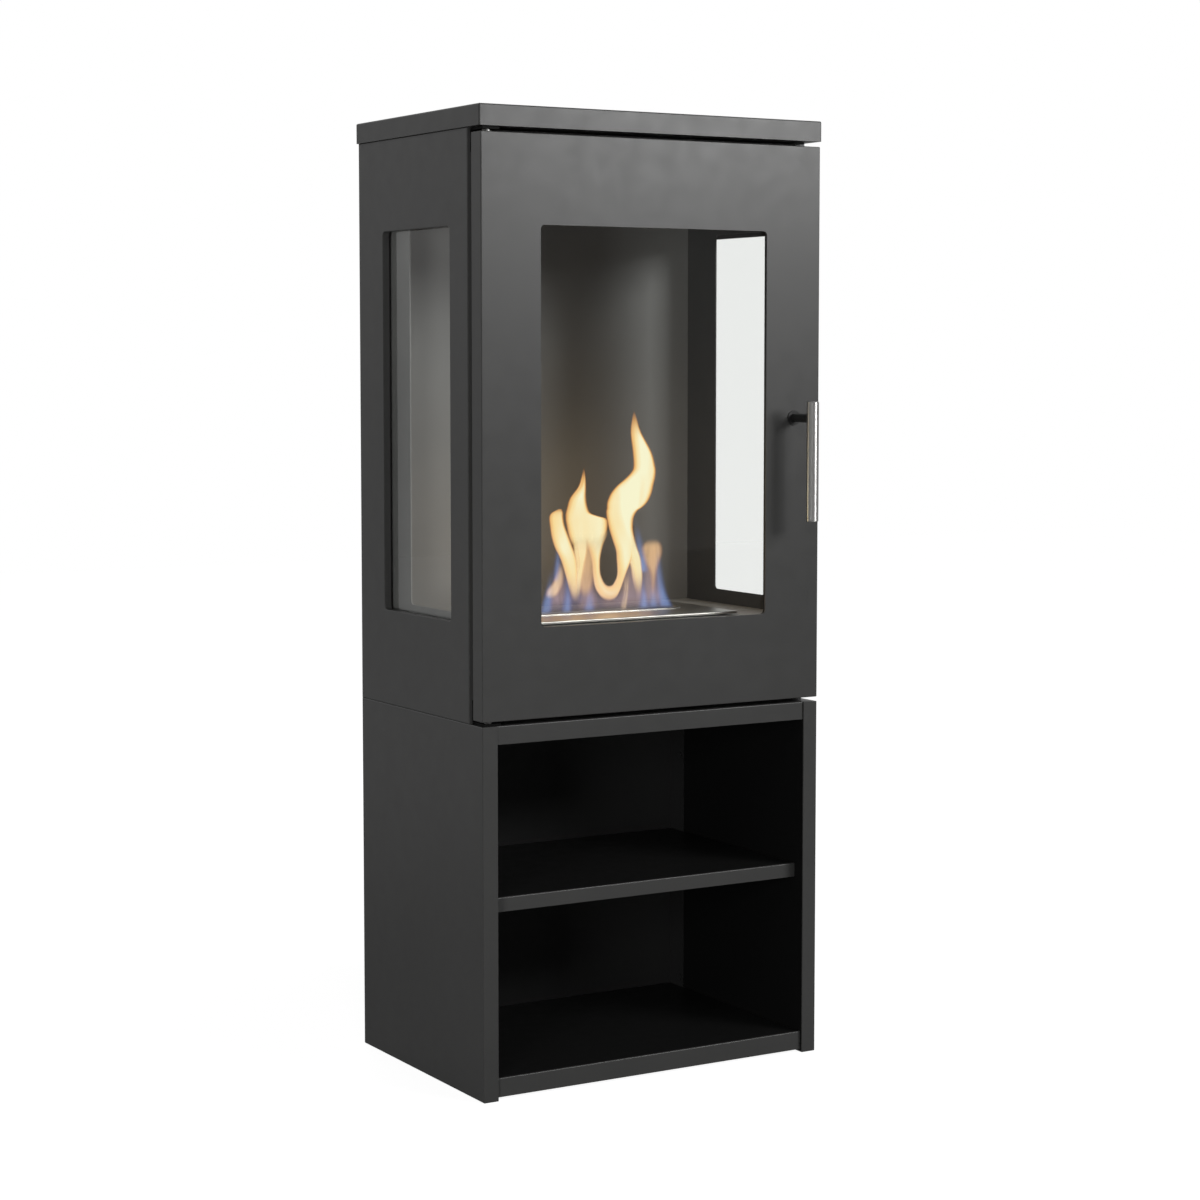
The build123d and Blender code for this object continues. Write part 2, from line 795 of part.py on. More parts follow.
def door_inner_frame():
    """The door's rear pan: a sheet with a window and a collar forwards to the front sheet."""
    reach = half - door_sheet - seam
    z_range = (door_bottom + door_sheet + seam, door_top - door_sheet - seam)
    pan_front = door_depth - sheet
    shape = block((-reach, reach), (pan_front, door_depth), z_range)
    shape += opening_y((door_sheet + seam, door_depth), door_window, inner_opening_margin + sheet)
    shape -= opening_y((-over, door_depth + over), door_window, inner_opening_margin)
    for side in (-1, 1):
        for level in boss_levels:
            start = (side * boss_x, pan_front - over, level)
            shape -= hole(start, (side * boss_x, door_depth + over, level), m4, hole_clearance)
    start = (handle_x, pan_front - over, spindle_level)
    return shape - rod(start, (handle_x, door_depth + over, spindle_level), bush_radius + thread_clearance)


def glass_clips():
    """Bent clips that hold the door glass, each on its stud."""
    clips = []
    for x, z, turn in clip_points():
        bite = stud_offset + clip_bite
        leg = clip_leg_offset - stud_offset
        y_range = (door_glass_back, door_glass_back + clip_sheet)
        shape = block((-bite, leg), y_range, (-clip_width / 2, clip_width / 2))
        leg_y = (door_sheet, door_glass_back + clip_sheet)
        shape += block((leg - clip_sheet, leg), leg_y, (-clip_width / 2, clip_width / 2))
        shape -= rod((0, door_sheet, 0), (0, door_depth, 0), m4[0] + hole_clearance)
        clips.append(Pos(x, 0, z) * Rot(0, turn, 0) * shape)
    return group(clips)


def clip_nuts():
    start = door_glass_back + clip_sheet
    return group([nut((x, start, z), (x, start + m4[0] * nut_reach, z), m4) for x, z, _ in clip_points()])


def door_frame_screws():
    tip = door_sheet + door_screw_end
    screws = []
    for side in (-1, 1):
        for level in boss_levels:
            screws.append(screw((side * boss_x, door_depth, level), (side * boss_x, tip, level), m4))
    return group(screws)


# ---------------------------------------------------------------- handle and latch
def spindle_bush():
    start = (handle_x, -bush_flange[1], spindle_level)
    tail = (handle_x, door_depth + bush_tail, spindle_level)
    shape = rod(start, (handle_x, 0, spindle_level), bush_flange[0]) + rod(start, tail, bush_radius)
    return shape - rod(start, tail, spindle_radius + spindle_clearance)


def tongue_front():
    return frame_back + tongue_gap


def handle_spindle():
    """The turning shaft: a round post in front, a thinner end behind for the latch."""
    shoulder = (handle_x, tongue_front(), spindle_level)
    front = rod((handle_x, bar_y, spindle_level), shoulder, spindle_radius)
    end = (handle_x, tongue_front() + tongue_thickness + nut_height, spindle_level)
    return front + rod(shoulder, end, tongue_radius)


def handle_bar():
    top = spindle_level + bar_above_spindle
    shape = rod((handle_x, bar_y, top - bar_length), (handle_x, bar_y, top), bar_radius)
    shape = chamfer(shape.edges().filter_by(GeomType.CIRCLE), bar_chamfer)
    start = (handle_x, bar_y, spindle_level)
    return shape - rod(start, (handle_x, 0, spindle_level), spindle_radius + thread_clearance)


def spindle_clip():
    """The ring that keeps the spindle from sliding forwards."""
    start = door_depth + bush_tail + 3 * seam
    foot = (handle_x, start, spindle_level)
    tip = (handle_x, start + clip_ring[1], spindle_level)
    return rod(foot, tip, clip_ring[0]) - rod(foot, tip, spindle_radius + thread_clearance)


def latch_tongue():
    """The tongue on the spindle's end. It points at the frame's right stile."""
    y_range = (tongue_front(), tongue_front() + tongue_thickness)
    tip = opening_half - latch_clearance
    z_range = (spindle_level - tongue_height / 2, spindle_level + tongue_height / 2)
    shape = block((handle_x - tongue_height / 2, tip), y_range, z_range)
    shape = fillet(shape.edges().filter_by(Axis.Y), tongue_round)
    start = (handle_x, y_range[0] - over, spindle_level)
    return shape - rod(start, (handle_x, y_range[1] + over, spindle_level), tongue_radius + thread_clearance)


def spindle_nut():
    start = (handle_x, tongue_front() + tongue_thickness, spindle_level)
    end = (handle_x, tongue_front() + tongue_thickness + nut_height, spindle_level)
    return hexagon(start, end, tongue_radius + nut_wall) - rod(start, end, tongue_radius + thread_clearance)


# ---------------------------------------------------------------- burner
def burner_plate():
    """The top plate with a rolled edge, the flame slot in a raised lip and the knob's slot."""
    half_length = burner_length / 2
    y_range = (burner_front, burner_front + burner_depth)
    shape = block((-half_length, half_length), y_range, (burner_top - burner_skirt, burner_top))
    shape = fillet(shape.faces().sort_by(Axis.Z)[-1].edges(), burner_round)
    inner_x = half_length - burner_sheet
    hollow_z = (burner_top - burner_skirt - over, plate_under)
    shape -= block((-inner_x, inner_x), grown(y_range, -burner_sheet), hollow_z)
    lip_range = (plate_under, burner_top + slot_lip)
    lip_length = slot_length + 2 * slot_lip_width
    lip = slot_z(lip_length, slot_width + 2 * slot_lip_width, 0, burner_middle, lip_range)
    shape += fillet(lip.faces().sort_by(Axis.Z)[-1].edges(), slot_lip_width * 0.45)
    through = (plate_under - over, burner_top + slot_lip + over)
    shape -= slot_z(slot_length, slot_width, 0, burner_middle, through)
    reach = shutter_travel + knob_slot_width
    knob_slot = Rot(0, 0, 90) * SlotOverall(reach, knob_slot_width)
    knob_y = shutter_rest_y - shutter_travel / 2
    return shape - Pos(knob_x, knob_y, through[0]) * extrude(knob_slot, through[1] - through[0])


def burner_tank():
    """The fuel tank, open above, with a flange that rests on the firebox floor."""
    reach_x = tank_length / 2
    y_range = (burner_middle - tank_depth / 2, burner_middle + tank_depth / 2)
    shape = block((-reach_x, reach_x), y_range, (tank_bottom, plate_under))
    flange = (floor_level + rest_gap, floor_level + rest_gap + burner_sheet)
    shape += block((-reach_x - tank_flange, reach_x + tank_flange), grown(y_range, tank_flange), flange)
    inner_x = (tank_wall - reach_x, reach_x - tank_wall)
    return shape - block(inner_x, grown(y_range, -tank_wall), (tank_bottom + tank_wall, plate_under + over))


def burner_fibre():
    """The wool that soaks up the fuel."""
    reach_x = tank_length / 2 - tank_wall - fibre_gap
    reach_y = tank_depth / 2 - tank_wall - fibre_gap
    y_range = (burner_middle - reach_y, burner_middle + reach_y)
    return block((-reach_x, reach_x), y_range, (tank_bottom + tank_wall, fibre_top))


def shutter_half_length():
    return tank_length / 2 - tank_wall - guide_sheet - guide_clearance


def shutter_guides():
    """Two angles under the plate, in which the shutter slides."""
    outer = tank_length / 2 - tank_wall
    half_width = slot_width / 2 + shutter_overlap
    y_range = (burner_middle - half_width - guide_overrun, shutter_rest_y + half_width + guide_overrun)
    ledge_top = shutter_bottom - guide_clearance
    web = block((outer - guide_sheet, outer), y_range, (ledge_top - guide_sheet, plate_under))
    ledge = block((outer - guide_ledge, outer), y_range, (ledge_top - guide_sheet, ledge_top))
    return group(both_sides(web + ledge))


def shutter_plate():
    """The sliding sheet that closes the flame slot; it rests open, behind the slot."""
    half_width = slot_width / 2 + shutter_overlap
    reach = shutter_half_length()
    y_range = (shutter_rest_y - half_width, shutter_rest_y + half_width)
    shape = block((-reach, reach), y_range, (shutter_bottom, shutter_top))
    start = (knob_x, shutter_rest_y, shutter_bottom - over)
    end = (knob_x, shutter_rest_y, shutter_top + over)
    return shape - rod(start, end, knob_stem_radius + thread_clearance)


def shutter_knob():
    top = burner_top + rest_gap + knob_height
    foot = (knob_x, shutter_rest_y, shutter_bottom)
    stem = rod(foot, (knob_x, shutter_rest_y, top - knob_round), knob_stem_radius)
    head = rod((knob_x, shutter_rest_y, burner_top + rest_gap), (knob_x, shutter_rest_y, top), knob_radius)
    return stem + fillet(head.edges().sort_by(Axis.Z)[-1], knob_round)


# ---------------------------------------------------------------- the assembly
def build():
    side_liner = base_liner()
    base_wall = base_side()
    liner = firebox_liner()
    glass = side_glass()
    return {
        "base_right_side": base_wall,
        "base_left_side": mirror(base_wall, Plane.YZ),
        "base_right_liner": side_liner,
        "base_left_liner": mirror(side_liner, Plane.YZ),
        "base_top_panel": base_top_panel(),
        "base_shelf": base_tray(*base_windows["shelf"]),
        "base_bottom_panel": base_tray(*base_windows["bottom"]),
        "base_back_panel": base_back_panel(),
        "base_screws": base_screws(),
        "base_weld_nuts": base_weld_nuts(),
        "base_back_screws": base_back_screws(),
        "firebox_right_side": firebox_side(1),
        "firebox_left_side": firebox_side(-1),
        "right_side_glass": glass,
        "left_side_glass": mirror(glass, Plane.YZ),
        "side_glass_gaskets": group(both_sides(side_gasket())),
        "firebox_right_liner": liner,
        "firebox_left_liner": mirror(liner, Plane.YZ),
        "firebox_bottom_plate": firebox_bottom_plate(),
        "firebox_floor": firebox_floor(),
        "floor_supports": group(both_sides(floor_support())),
        "firebox_inner_back": firebox_inner_back(),
        "firebox_baffle": firebox_baffle(),
        "firebox_top_plate": firebox_top_plate(),
        "front_frame": front_frame(),
        "rear_cover": rear_cover(),
        "lid": lid(),
        "stack_bolts": stack_bolts(),
        "stack_nuts": stack_nuts(),
        "side_panel_screws": side_panel_screws(),
        "lid_screws": lid_screws(),
        "frame_screws": frame_screws(),
        "rear_cover_screws": rear_cover_screws(),
        "hinge_bracket_top": hinge_bracket_top(),
        "hinge_bracket_bottom": hinge_bracket_bottom(),
        "hinge_bracket_screws": hinge_bracket_screws(),
        "hinge_pins": hinge_pins(),
        "hinge_washer_bottom": hinge_washer((bottom_bracket_top, door_bottom - washer_gap)),
        "hinge_washer_top": hinge_washer((door_top, top_bracket_under - washer_gap)),
        "hinge_bushes": hinge_bushes(),
        "door_panel": door_panel(),
        "door_gasket": door_gasket(),
        "door_glass": door_glass(),
        "door_inner_frame": door_inner_frame(),
        "glass_clips": glass_clips(),
        "clip_nuts": clip_nuts(),
        "door_frame_screws": door_frame_screws(),
        "spindle_bush": spindle_bush(),
        "handle_spindle": handle_spindle(),
        "handle_bar": handle_bar(),
        "spindle_clip": spindle_clip(),
        "latch_tongue": latch_tongue(),
        "spindle_nut": spindle_nut(),
        "burner_plate": burner_plate(),
        "burner_tank": burner_tank(),
        "burner_fibre": burner_fibre(),
        "shutter_guides": shutter_guides(),
        "shutter_plate": shutter_plate(),
        "shutter_knob": shutter_knob(),
    }


# The origin is at the middle of the whole fireplace's footprint, on the floor.
os.makedirs("parts", exist_ok=True)
for name, piece in build().items():
    export_step(Pos(0, -centre_y, 0) * piece, f"parts/{name}.step")
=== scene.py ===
"""The looks of a free-standing bioethanol fireplace: charcoal cabinet, glazed firebox, flames."""
import json
import math

import bpy
import numpy as np
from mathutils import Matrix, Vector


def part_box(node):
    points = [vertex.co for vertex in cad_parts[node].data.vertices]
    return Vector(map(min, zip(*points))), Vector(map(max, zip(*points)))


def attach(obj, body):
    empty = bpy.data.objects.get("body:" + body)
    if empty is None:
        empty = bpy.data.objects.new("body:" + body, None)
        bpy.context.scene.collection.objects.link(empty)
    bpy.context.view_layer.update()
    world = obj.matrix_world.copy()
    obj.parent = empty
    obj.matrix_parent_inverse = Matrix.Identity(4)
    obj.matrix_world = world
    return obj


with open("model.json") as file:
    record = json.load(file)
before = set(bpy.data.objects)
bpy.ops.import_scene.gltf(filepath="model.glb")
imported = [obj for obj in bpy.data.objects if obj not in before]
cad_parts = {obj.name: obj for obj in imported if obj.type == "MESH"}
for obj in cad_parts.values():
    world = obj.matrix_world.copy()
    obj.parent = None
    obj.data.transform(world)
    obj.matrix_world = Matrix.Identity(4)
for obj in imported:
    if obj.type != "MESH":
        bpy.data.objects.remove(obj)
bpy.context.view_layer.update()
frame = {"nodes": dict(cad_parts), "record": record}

WHITE = (1.0, 1.0, 1.0)

# ---------------------------------------------------------------- sizes, in metres
MM = 0.001
burner_low, burner_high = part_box("burner_plate")
slot_y = (burner_low.y + burner_high.y) / 2
lip_z = burner_high.z

# The camera stands in front, to the left of the object. The lens is a long one.
CAMERA_PLACE = (-1.5571, -2.634, 0.8125)
CAMERA_YAW = 30.641
CAMERA_PITCH = 4.397
CAMERA_LENS = 79.58
CAMERA_SHIFT = -0.0333
SENSOR_WIDTH = 36.0


# ---------------------------------------------------------------- node graphs
class Graph:
    """A material's or the world's nodes."""

    def __init__(self, owner):
        owner.use_nodes = True
        self.owner = owner
        self.tree = owner.node_tree
        self.tree.nodes.clear()

    def add(self, kind, inputs=None, **settings):
        """A new node. An input that is given a socket is linked, and any other is set."""
        node = self.tree.nodes.new("ShaderNode" + kind)
        for name, value in settings.items():
            setattr(node, name, value)
        for name, value in (inputs or {}).items():
            if isinstance(value, bpy.types.NodeSocket):
                self.tree.links.new(value, node.inputs[name])
            else:
                node.inputs[name].default_value = value
        return node

    def math(self, operation, first, second=0.0):
        return self.add("Math", {0: first, 1: second}, operation=operation).outputs[0]

    def spread(self, value, low, high, to_low=0.0, to_high=1.0, smooth=False):
        """The value, moved from one range to another and kept within it."""
        limits = {"Value": value, "From Min": low, "From Max": high, "To Min": to_low, "To Max": to_high}
        kind = "SMOOTHSTEP" if smooth else "LINEAR"
        return self.add("MapRange", limits, interpolation_type=kind).outputs[0]

    def blend(self, factor, first, second):
        """A colour between two."""
        return self.add("Mix", {0: factor, 6: first, 7: second}, data_type="RGBA").outputs[2]

    def mix(self, factor, first, second):
        """A shader between two."""
        return self.add("MixShader", {0: factor, 1: first, 2: second}).outputs[0]

    def noise(self, scale, detail=2.0, stretch=(1.0, 1.0, 1.0), distortion=0.0):
        """Noise fixed to the piece. The scale is in features to the metre."""
        place = self.add("TexCoord").outputs["Object"]
        mapped = self.add("Mapping", {"Vector": place, "Scale": stretch}).outputs[0]
        inputs = {"Vector": mapped, "Scale": scale, "Detail": detail, "Distortion": distortion}
        return self.add("TexNoise", inputs).outputs[0]

    def bump(self, height, strength, distance):
        return self.add("Bump", {"Height": height, "Strength": strength, "Distance": distance}).outputs[0]

    def finish(self, shader, output="OutputMaterial"):
        self.tree.links.new(shader, self.add(output).inputs["Surface"])
        return self.owner


def material(name):
    return Graph(bpy.data.materials.new(name))


def shade(colour, factor=1.0):
    return tuple(min(channel * factor, 1.0) for channel in colour) + (1.0,)


# ---------------------------------------------------------------- metals and paints
# The range in which most of a noise's values lie, and how coarse each pattern is, in features to the metre.
NOISE_LOW, NOISE_HIGH = 0.3, 0.7
CLOUDS = 7.0
UNEVEN_GLOSS = 45.0
SPECKLES = 2600.0
FINE_GRAIN = 1500.0
COARSE_GRAIN = 900.0
HAIRLINES = 2500.0
WIDE_LINES = 400.0
LINE_STRETCH = 0.02
PLATING_SPOTS = 300.0
PLATING_GLOSS = 900.0
TOOL_MARKS = 3000.0

PEEL_DEPTH = 0.1 * MM
TOOL_DEPTH = 0.02 * MM
LINE_DEPTH = 0.01 * MM
SPECKLE_SHARE = 0.35
SPECKLE_SHADE = 1.35
GLOSS_RANGE = 0.03
RECESS_SHADE_BLEND = 2 * MM
FACING_UP = (0.9, 0.99)


def paint(name, colour, roughness, cloud=0.06, grain=0.12, grain_scale=FINE_GRAIN, specular=0.5,
          recess_shade=None, top=None):
    """Baked paint on sheet steel: faint clouds in its tone and gloss, and a fine grain. The second colour,
    given with the Y at which the piece's front fold ends, is a painted shade: it covers everything behind
    that fold, where a compartment's inside lies in shade.
    A top is the roughness of the faces that look up, where wiping has dulled them."""
    graph = material(name)
    clouds = graph.spread(graph.noise(CLOUDS, 4.0), NOISE_LOW, NOISE_HIGH)
    tone = graph.blend(clouds, shade(colour, 1 - cloud), shade(colour, 1 + cloud))
    speckle = graph.spread(graph.noise(SPECKLES, 1.0), 0.25, 0.75)
    tone = graph.blend(graph.math("MULTIPLY", speckle, SPECKLE_SHARE), tone, shade(colour, SPECKLE_SHADE))
    # Near-black painted shade over all that lies behind the front fold, where the compartment lies in shade.
    if recess_shade:
        inner, fold = recess_shade
        place = graph.add("SeparateXYZ", {0: graph.add("TexCoord").outputs["Object"]}).outputs
        tone = graph.blend(graph.spread(place["Y"], fold, fold + RECESS_SHADE_BLEND), tone, shade(inner))
    shiny, dull = roughness - GLOSS_RANGE, roughness + GLOSS_RANGE
    gloss = graph.spread(graph.noise(UNEVEN_GLOSS, 3.0), NOISE_LOW, NOISE_HIGH, shiny, dull)
    peel = graph.bump(graph.noise(grain_scale, 2.0), grain, PEEL_DEPTH)
    if top:
        facing = graph.add("SeparateXYZ", {0: graph.add("NewGeometry").outputs["True Normal"]}).outputs["Z"]
        upward = graph.spread(facing, *FACING_UP)
        gloss = graph.add("Mix", {0: upward, 2: gloss, 3: top}, data_type="FLOAT").outputs[0]
    inputs = {"Base Color": tone, "Roughness": gloss, "Normal": peel, "Specular IOR Level": specular}
    return graph.finish(graph.add("BsdfPrincipled", inputs).outputs[0])


def brushed(name, colour, along, roughness, streak=0.12, depth=LINE_DEPTH, stretch_gloss=0.0):
    """Stainless steel with hairlines along X or Z. Its reflections can be drawn out around a bar."""
    graph = material(name)
    stretch = (LINE_STRETCH, 1.0, 1.0) if along == "X" else (1.0, 1.0, LINE_STRETCH)
    lines = graph.noise(HAIRLINES, 4.0, stretch)
    wide = graph.spread(graph.noise(WIDE_LINES, 3.0, stretch), NOISE_LOW, NOISE_HIGH)
    tone = graph.blend(wide, shade(colour, 1 - streak), shade(colour, 1 + streak))
    gloss = graph.spread(lines, NOISE_LOW, NOISE_HIGH, roughness - 0.05, roughness + 0.07)
    scratch = graph.bump(lines, 0.25, depth)
    inputs = {"Base Color": tone, "Metallic": 1.0, "Roughness": gloss, "Normal": scratch}
    inputs.update({"Anisotropic": stretch_gloss, "Anisotropic Rotation": 0.25})
    return graph.finish(graph.add("BsdfPrincipled", inputs).outputs[0])


def plated(name, colour, roughness):
    """Turned or plated metal, slightly uneven."""
    graph = material(name)
    spots = graph.spread(graph.noise(PLATING_SPOTS, 3.0), 0.35, 0.65)
    tone = graph.blend(spots, shade(colour, 0.9), shade(colour, 1.1))
    patches = graph.noise(PLATING_GLOSS, 2.0)
    gloss = graph.spread(patches, NOISE_LOW, NOISE_HIGH, roughness - 0.04, roughness + 0.06)
    tool = graph.bump(graph.noise(TOOL_MARKS, 1.0), 0.1, TOOL_DEPTH)
    inputs = {"Base Color": tone, "Metallic": 1.0, "Roughness": gloss, "Normal": tool}
    return graph.finish(graph.add("BsdfPrincipled", inputs).outputs[0])


# ---------------------------------------------------------------- fibre and glass
TAPE_RIBS = 190.0
RIB_DEPTH = 0.2 * MM
WOOL_TUFTS = 420.0
TUFT_DEPTH = 1.2 * MM
SCORCH_PATCHES = 30.0
GLASS_SMEARS = 14.0
SMEAR_ROUGHNESS = 0.03
GLASS_TINT = (0.985, 0.99, 0.985)


def woven_tape():
    """Black heat-resistant tape: two sets of crossing ribs."""
    graph = material("woven_tape")
    place = graph.add("TexCoord").outputs["Object"]
    ribs = [
        graph.add("TexWave", {"Vector": place, "Scale": TAPE_RIBS}, bands_direction=axis).outputs[1]
        for axis in ("Y", "Z")
    ]
    weave = graph.math("MAXIMUM", ribs[0], ribs[1])
    tone = graph.blend(weave, shade((0.004, 0.004, 0.004)), shade((0.022, 0.021, 0.02)))
    inputs = {"Base Color": tone, "Roughness": 0.9, "Normal": graph.bump(weave, 0.6, RIB_DEPTH)}
    return graph.finish(graph.add("BsdfPrincipled", inputs).outputs[0])


def felted_wool():
    """White ceramic wool, scorched a little in patches."""
    graph = material("felted_wool")
    tufts = graph.noise(WOOL_TUFTS, 6.0, distortion=1.5)
    scorch = graph.spread(graph.noise(SCORCH_PATCHES, 4.0), 0.5, 0.75)
    clean = graph.blend(tufts, shade((0.55, 0.53, 0.48)), shade((0.86, 0.84, 0.79)))
    tone = graph.blend(scorch, clean, shade((0.3, 0.24, 0.17)))
    inputs = {"Base Color": tone, "Roughness": 0.95, "Normal": graph.bump(tufts, 0.8, TUFT_DEPTH)}
    return graph.finish(graph.add("BsdfPrincipled", inputs).outputs[0])


def pane(name, ior):
    """A clear pane. A real one mirrors at both faces, and here the face that light meets does so for both."""
    graph = material(name)
    leaving = graph.add("NewGeometry").outputs["Backfacing"]
    entering = graph.math("SUBTRACT", 1.0, leaving)
    mirrored = graph.math("MULTIPLY", graph.add("Fresnel", {"IOR": ior}).outputs[0], entering)
    smear = graph.spread(graph.noise(GLASS_SMEARS, 5.0), 0.35, 0.75, 0.0, SMEAR_ROUGHNESS)
    clear = graph.add("BsdfTransparent", {"Color": shade(GLASS_TINT)}).outputs[0]
    gloss = graph.add("BsdfGlossy", {"Color": shade(WHITE), "Roughness": smear}).outputs[0]
    return graph.finish(graph.mix(mirrored, clear, gloss))


# ---------------------------------------------------------------- finishes on the CAD nodes
CHARCOAL = (0.046, 0.046, 0.045)
CHARCOAL_GLOSS = 0.37
CHARCOAL_FOLD = 1.5 * MM
HEAT_GREY = (0.15, 0.15, 0.145)
# The near-black painted shade inside the base's compartments.
RECESS_SHADE = (0.01, 0.01, 0.01)
STAINLESS = (0.6, 0.585, 0.56)


def tray_with_recess_shade(node):
    """Charcoal paint on a tray's front fold, and near-black painted shade behind it, where the compartment
    lies in shade.
    """
    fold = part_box(node)[0].y + CHARCOAL_FOLD
    return paint(node + "_coat", CHARCOAL, CHARCOAL_GLOSS, recess_shade=(RECESS_SHADE, fold))


finishes = {
    "coated_steel": paint("charcoal_coat", CHARCOAL, CHARCOAL_GLOSS),
    "heat_paint": paint("heat_paint", HEAT_GREY, 0.5, cloud=0.1, grain_scale=COARSE_GRAIN),
    "brushed_stainless": brushed("stainless_along_x", STAINLESS, "X", 0.27),
    "black_steel": paint("black_satin", (0.012, 0.012, 0.012), 0.35, grain=0.05),
    "bright_steel": plated("polished_steel", (0.78, 0.78, 0.77), 0.16),
    "zinc_steel": plated("zinc_plate", (0.55, 0.56, 0.56), 0.34),
    "black_fasteners": paint("black_oxide", (0.02, 0.02, 0.02), 0.38, grain=0.05),
    "bush_brass": plated("turned_brass", (0.68, 0.5, 0.24), 0.26),
    "clear_glass": pane("side_pane", 1.7),
    "fibre_tape": woven_tape(),
    "ceramic_wool": felted_wool(),
}
# Near-black painted shade for the faces inside the base's compartments.
recess_shade_black = paint("recess_shade_black", (0.006, 0.006, 0.006), 0.6, specular=0.12)
# Near-black painted shade for the hinge brackets, which sit in the gaps at the door's hinges.
gap_shade_black = paint("gap_shade_black", (0.004, 0.004, 0.004), 0.6, specular=0.1)
washer_steel = plated("satin_washer", (0.4, 0.4, 0.39), 0.5)
special = {
    "lid": paint("lid_coat", CHARCOAL, CHARCOAL_GLOSS, top=0.8),
    "handle_bar": brushed(
        "stainless_along_z", (0.8, 0.79, 0.77), "Z", 0.3, streak=0.03, depth=0.0, stretch_gloss=0.9
    ),
    "burner_plate": brushed("stainless_plate", STAINLESS, "X", 0.33, streak=0.06, depth=0.0),
    "door_glass": pane("door_pane", 1.55),
    # Inside the base's compartments: near-black painted shade.
    "base_right_liner": recess_shade_black,
    "base_left_liner": recess_shade_black,
    "base_back_panel": paint("back_panel_shade", (0.02, 0.02, 0.02), 0.6, specular=0.3),
    # The hinge brackets: near-black painted shade, as the gaps they sit in lie in shade.
    "hinge_bracket_top": gap_shade_black,
    "hinge_bracket_bottom": gap_shade_black,
    "hinge_washer_top": washer_steel,
    "hinge_washer_bottom": washer_steel,
    "base_shelf": tray_with_recess_shade("base_shelf"),
    "base_bottom_panel": tray_with_recess_shade("base_bottom_panel"),
    # The firebox's right wall: a much darker copy of the heat paint, painted shade.
    "firebox_right_liner": paint(
        "shaded_heat_paint", (0.027, 0.027, 0.026), 0.42, cloud=0.1, grain_scale=COARSE_GRAIN
    ),
    # The firebox's left wall: a slightly lighter copy of the heat paint, painted light.
    "firebox_left_liner": paint(
        "lit_heat_paint", (0.175, 0.175, 0.17), 0.5, cloud=0.1, grain_scale=COARSE_GRAIN
    ),
    # The firebox floor: a much paler copy of the heat paint, a painted reflection of the bright side window;
    # its stronger gloss is its own.
    "firebox_floor": paint(
        "floor_heat_paint_with_reflection", (0.36, 0.36, 0.35), 0.42, cloud=0.1, grain_scale=COARSE_GRAIN, specular=0.7
    ),
}
for part in frame["record"]["subparts"]:
    node = frame["nodes"][part["node"]]
    node.material_slots[0].material = special.get(part["node"], finishes[part["material_slot"]])


# ---------------------------------------------------------------- flames
# Each flame is a blade over the slot. Its rows run up from its foot: the height over the slot, and
# the left and right edge along the slot. Where a flame bends round, a row has its own height at each
# edge: place and height of the one edge, then of the other. An offset is how far a flame stands behind
# the slot's middle. All are in millimetres.
FLAMES = {
    "flame_tall": ("tall", -1.5, [
        (4, 104, -28, 104), (8, 90, -25, 90), (2, 76, -21, 76), (-1.5, 64, -17, 64), (-2.5, 55, -15, 55),
        (-2, 44, -14, 43), (1, 36, -11.5, 29), (4, 31.5, -7, 20), (7, 29.5, 0, 13), (10, 29, 9.5, 10),
        (13, 30, 18.5, 13), (15.5, 33, 24, 21), (18, 38, 29, 32), (19, 45, 34, 44), (18, 59, 41, 59),
        (17, 69, 44, 69), (13, 80, 44, 80), (8, 94, 42, 94), (5, 106, 43, 106), (4, 114, 48, 114),
        (5, 118, 55, 118), (5, 123, 61, 123), (7, 129, 65, 129), (11, 136, 68, 136), (19, 144, 70, 144),
        (29, 151, 72, 151), (38, 159, 73, 159), (41, 166, 72, 166), (40, 182, 67, 182), (37, 205, 53, 205),
        (39, 221, 47, 221), (42, 231, 43, 231),
    ]),
    "flame_middle": ("middle", 2.0, [
        (70, -36, 0), (82, -42, 4), (92, -45, 9), (101, -47, 10), (106, -48, 8), (109, -48, -2),
        (113, -48, -13), (120, -46, -17), (131, -42, -19), (144, -31, -19), (157, -26, -20), (168, -23, -22),
    ]),
    "flame_left": ("left", -2.5, [
        (12, -42, -33), (30, -47, -33), (50, -53, -33), (63, -58, -35), (76, -65, -40), (88, -69, -45),
        (100, -71, -50), (110, -72, -52), (115, -69, -52), (119, -60, -54),
    ]),
    "flame_leg": ("leg", 2.5, [
        (10, -38, -28), (24, -41, -25), (38, -40, -23), (54, -36, -20), (74, -38, -16), (100, -40, -20),
    ]),
    "flame_inner": ("inner", 0.5, [
        (12, 46, 55), (24, 43, 56), (36, 40, 57), (48, 38, 56), (60, 34, 54), (76, 28, 48), (100, 24, 42),
    ]),
}
